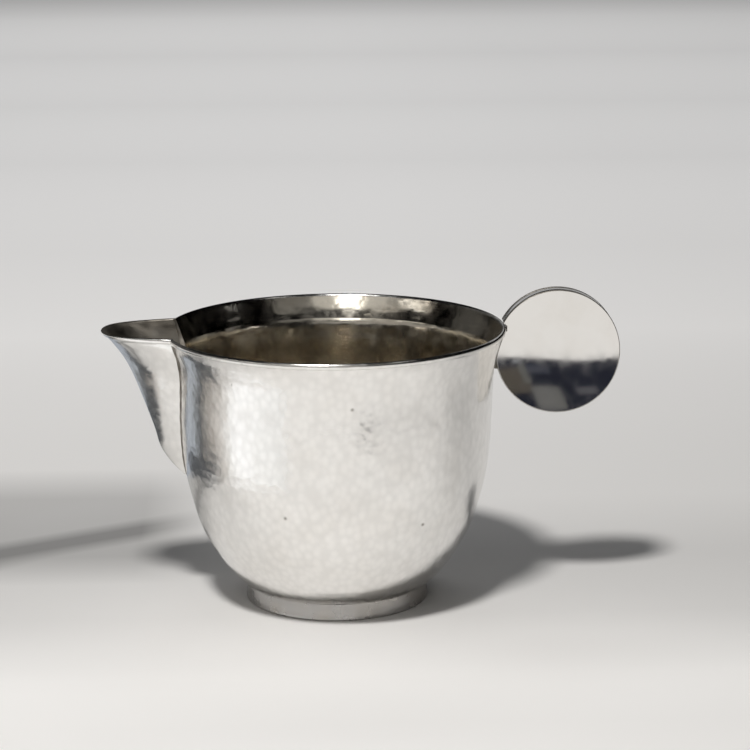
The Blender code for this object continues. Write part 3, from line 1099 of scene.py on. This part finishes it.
@dataclass
class Studio:
    """Pale floor, a far wall that only the camera sees, one key light, soft fill and cards."""

    radius: float = 2.3
    wall_height: float = 1.6
    tint: Colour = (1.0, 0.985, 0.965)
    cold: Colour = (0.98, 0.985, 1.0)
    # Floor colour by distance ahead of the axis, painted light and shade: lightest in front of the
    # jug, darker just behind it and darker again far back.
    tones: tuple = ((-0.30, 0.88), (-0.17, 0.95), (-0.13, 0.98), (-0.095, 0.95),
                    (-0.065, 0.99), (-0.02, 0.76), (0.03, 0.70), (0.085, 0.82), (0.18, 0.84),
                    (0.31, 0.84), (0.48, 0.64), (0.75, 0.41), (1.0, 0.30), (1.3, 0.27),
                    (1.6, 0.34))
    # Painted shade: the floor's colour turns slightly darker towards the right.
    side_tone: tuple = ((0.03, 0.16), (1.0, 0.97))
    # Painted soft shadow on the left of the floor: where it starts, its near and far edges, and a
    # darker slanted streak.
    shadow_start: tuple = ((-0.038, -0.058), (0.0, 1.0))
    shadow_near: tuple = ((0.010, 0.034), (0.0, 0.34))
    shadow_far: tuple = ((0.090, 0.122), (1.0, 0.0))
    streak: tuple = ((0.003, 0.022), (0.64, 0.0))
    streak_middle: float = 0.090
    streak_slant: float = -0.55
    key_place: tuple[float, float, float] = (-0.152, -0.425, 0.863)
    key_power: float = 7.0
    key_size: float = 0.13
    back_power: float = 17.0
    world: float = 0.07
    # Round the jug: azimuth, elevation and distance; width and height in degrees; light.
    round_cards: tuple = (
        ("front_softbox", (-13.0, 26.0, 0.9), (17.0, 9.0), 3.2),
        ("mid_glow", (-15.0, 27.0, 0.95), (62.0, 17.0), 0.56),
        ("right_glow", (31.0, 26.0, 0.97), (28.0, 14.0), 0.19),
        ("left_glow", (-52.0, 22.0, 0.97), (18.0, 12.0), 0.34),
        ("left_softbox", (-64.0, 21.5, 0.9), (26.0, 4.0), 1.5),
        ("right_softbox", (54.0, 50.0, 0.9), (10.0, 10.0), 1.3),
        ("foot_glow", (-38.0, 11.0, 1.0), (110.0, 12.0), 0.36),
        ("rear_fill", (-150.0, 18.0, 1.0), (88.0, 24.0), 0.065))
    # Cards on the floor that paint the disc's reflection of the dark room and the things in it:
    # left, right, near and far in mm from the axis; colour.
    floor_cards: tuple = (
        ("dark_floor", 60.0, 104.0, 206.0, 266.7, (0.018, 0.020, 0.030)),
        ("brown_floor", 68.0, 75.3, 227.0, 254.0, (0.090, 0.080, 0.068)),
        ("grey_floor", 75.0, 81.5, 212.0, 232.5, (0.15, 0.15, 0.147)),
        ("blue_floor", 76.0, 82.0, 247.0, 256.5, (0.055, 0.060, 0.078)),
        ("light_floor", 73.0, 75.2, 258.8, 261.0, (0.42, 0.44, 0.47)),
        ("column_floor", 73.5, 75.8, 234.0, 256.0, (0.12, 0.12, 0.115)),
        ("rim_floor", 85.0, 91.0, 222.0, 231.0, (0.10, 0.10, 0.11)))

    def floor(self) -> None:
        """The floor: a flat disc of rings; its colour carries painted light and shade that changes
        slowly from the front to the back, and a painted soft shadow of something out of view lies
        across it on the left."""
        turn = np.linspace(0.0, 2.0 * math.pi, 65)
        ring = np.linspace(0.0, self.radius, 12)[:, None] / MM
        points = np.stack([ring * np.cos(turn), ring * np.sin(turn), 0.0 * ring * turn], -1)
        sheet = Sheet(0.0)
        sheet.quads(sheet.grid(points))
        nodes = Nodes("pale_floor")
        place = nodes.axes()
        ahead, across = place["Y"], place["X"]
        tone = nodes.ramp(ahead, [(y, tuple(level * c for c in self.tint))
                                  for y, level in self.tones])
        tone = nodes.add("ShaderNodeVectorMath", {
            0: tone, "Scale": nodes.span(across, *self.side_tone)}, operation="SCALE")
        # Painted shadow: a slanted streak and a wider band darken the floor's colour towards black
        # on the left.
        slant = nodes.maths("MULTIPLY_ADD", across, self.streak_slant, ahead)
        off = nodes.maths("ABSOLUTE", nodes.maths("SUBTRACT", slant, self.streak_middle))
        wide = nodes.maths("MULTIPLY", nodes.span(ahead, *self.shadow_near),
                           nodes.span(ahead, *self.shadow_far))
        share = nodes.maths("MAXIMUM", nodes.span(off, *self.streak), wide)
        share = nodes.maths("MULTIPLY", share, nodes.span(across, *self.shadow_start))
        shader = nodes.add("ShaderNodeBsdfPrincipled", {
            "Base Color": nodes.mix(share, tone, (0.0, 0.0, 0.0)), "Roughness": 0.75,
            "Specular IOR Level": 0.2})
        sheet.piece("floor", [nodes.finish(shader)])

    def light(self, name: str, position: tuple, target: tuple, power: float,
              size: tuple[float, float], colour: Colour, spread: float = 180.0) \
            -> bpy.types.Object:
        """Adds one area light.

        Args:
            name: its name.
            position: where it stands.
            target: the point that it faces.
            power: its power in watts.
            size: its width and height.
            colour: its colour.
            spread: how wide it shines, in degrees.
        Returns:
            The light.
        """
        data = bpy.data.lights.new(name, "AREA")
        data.shape = "ELLIPSE" if size[0] == size[1] else "RECTANGLE"
        data.size, data.size_y = size
        data.energy, data.color = power, colour
        data.spread = math.radians(spread)
        obj = linked(name, data)
        obj.location = position
        towards = Vector(target) - Vector(position)
        obj.rotation_euler = towards.to_track_quat("-Z", "Y").to_euler()
        return obj

    def cards(self, x: float) -> list[Card]:
        """All the cards, for a bowl's axis at x."""
        found = [Card("low_front_card", (x - 0.04, -0.267, 0.017), (x - 0.04, 0.0, 0.017),
                      (0.32, 0.034), (1.0, 0.98, 0.955), 0.87),
                 Card("back_glow", (x + 0.053, 0.02, 0.081), (x + 0.053, 0.0, 0.081),
                      (0.046, 0.016), (1.0, 1.0, 1.0), 0.42)]
        found += [Card.around(*card, x) for card in self.round_cards]
        for number, (name, left, right, near, far, colour) in enumerate(self.floor_cards):
            middle = (x + (left + right) / 2.0 * MM, -(near + far) / 2.0 * MM,
                      0.0009 + 0.0001 * number)
            found.append(Card(name, middle, (middle[0], middle[1], 1.0),
                              ((right - left) * MM, (far - near) * MM), colour))
        return found

    def build(self, jug: JugFrame) -> None:
        """Builds floor, lights and cards round the jug."""
        x = jug.axis_x * MM
        self.floor()
        wall = upright("far_wall", 0.0, self.radius, self.wall_height, (0.0, 2.0 * math.pi), 64,
                       Nodes("far_wall").glow(self.cold, 0.5))
        wall.visible_camera, wall.visible_glossy = True, False
        self.light("key", Vector(self.key_place) + Vector((x, 0.0, 0.0)), (x, 0.0, 0.02),
                   self.key_power, (self.key_size, self.key_size), self.tint)
        back = self.light("back_light", (0.0, 1.2, 1.2), (0.0, 1.25, 0.0), self.back_power,
                          (1.8, 0.6), self.cold, 100.0)
        back.visible_glossy = False
        world = bpy.data.worlds.new("studio")
        world.use_nodes = True
        sky = world.node_tree.nodes["Background"]
        sky.inputs["Color"].default_value = (0.94, 0.97, 1.0, 1.0)
        sky.inputs["Strength"].default_value = self.world
        world.cycles_visibility.glossy = False
        bpy.context.scene.world = world
        SidePanel().build(x)
        for card in self.cards(x):
            card.build()


@dataclass(frozen=True)
class StudioCamera:
    """The camera: where it stands, how it is turned, in degrees, and its lens."""

    position: tuple[float, float, float] = (-0.02221, -0.60968, 0.19840)
    down: float = 13.135
    right: float = 2.417
    roll: float = -0.325
    lens_mm: float = 121.86

    def build(self) -> None:
        """Adds the camera and makes it the scene's; its axes are the level right and up
        vectors turned by the roll."""
        down, right, roll = (math.radians(a) for a in (self.down, self.right, self.roll))
        forward = Vector((math.sin(right) * math.cos(down), math.cos(right) * math.cos(down),
                          -math.sin(down)))
        level = Vector((math.cos(right), -math.sin(right), 0.0))
        rise = level.cross(forward)
        side = level * math.cos(roll) + rise * math.sin(roll)
        turn = Matrix((side, side.cross(forward), -forward)).transposed()
        data = bpy.data.cameras.new("camera")
        data.lens, data.sensor_width = self.lens_mm, 36.0
        data.clip_start, data.clip_end = 0.01, 20.0
        obj = linked("camera", data)
        obj.matrix_world = Matrix.Translation(self.position) @ turn.to_4x4()
        bpy.context.scene.camera = obj


def main() -> None:
    """Builds the jug's sub-assemblies, the studio and the camera in order."""
    logging.basicConfig(level=logging.INFO, format="%(message)s")
    jug = JugFrame.read()
    line = SpoutLine()
    bowl = Bowl(jug, line)
    bowl.dress()
    Spout(jug, line, bowl).dress()
    FootRing(jug, bowl).dress()
    DiscHandle(jug, bowl).dress()
    Studio().build(jug)
    StudioCamera().build()
    bpy.context.scene.view_settings.view_transform = "Standard"


if __name__ == "__main__":
    main()
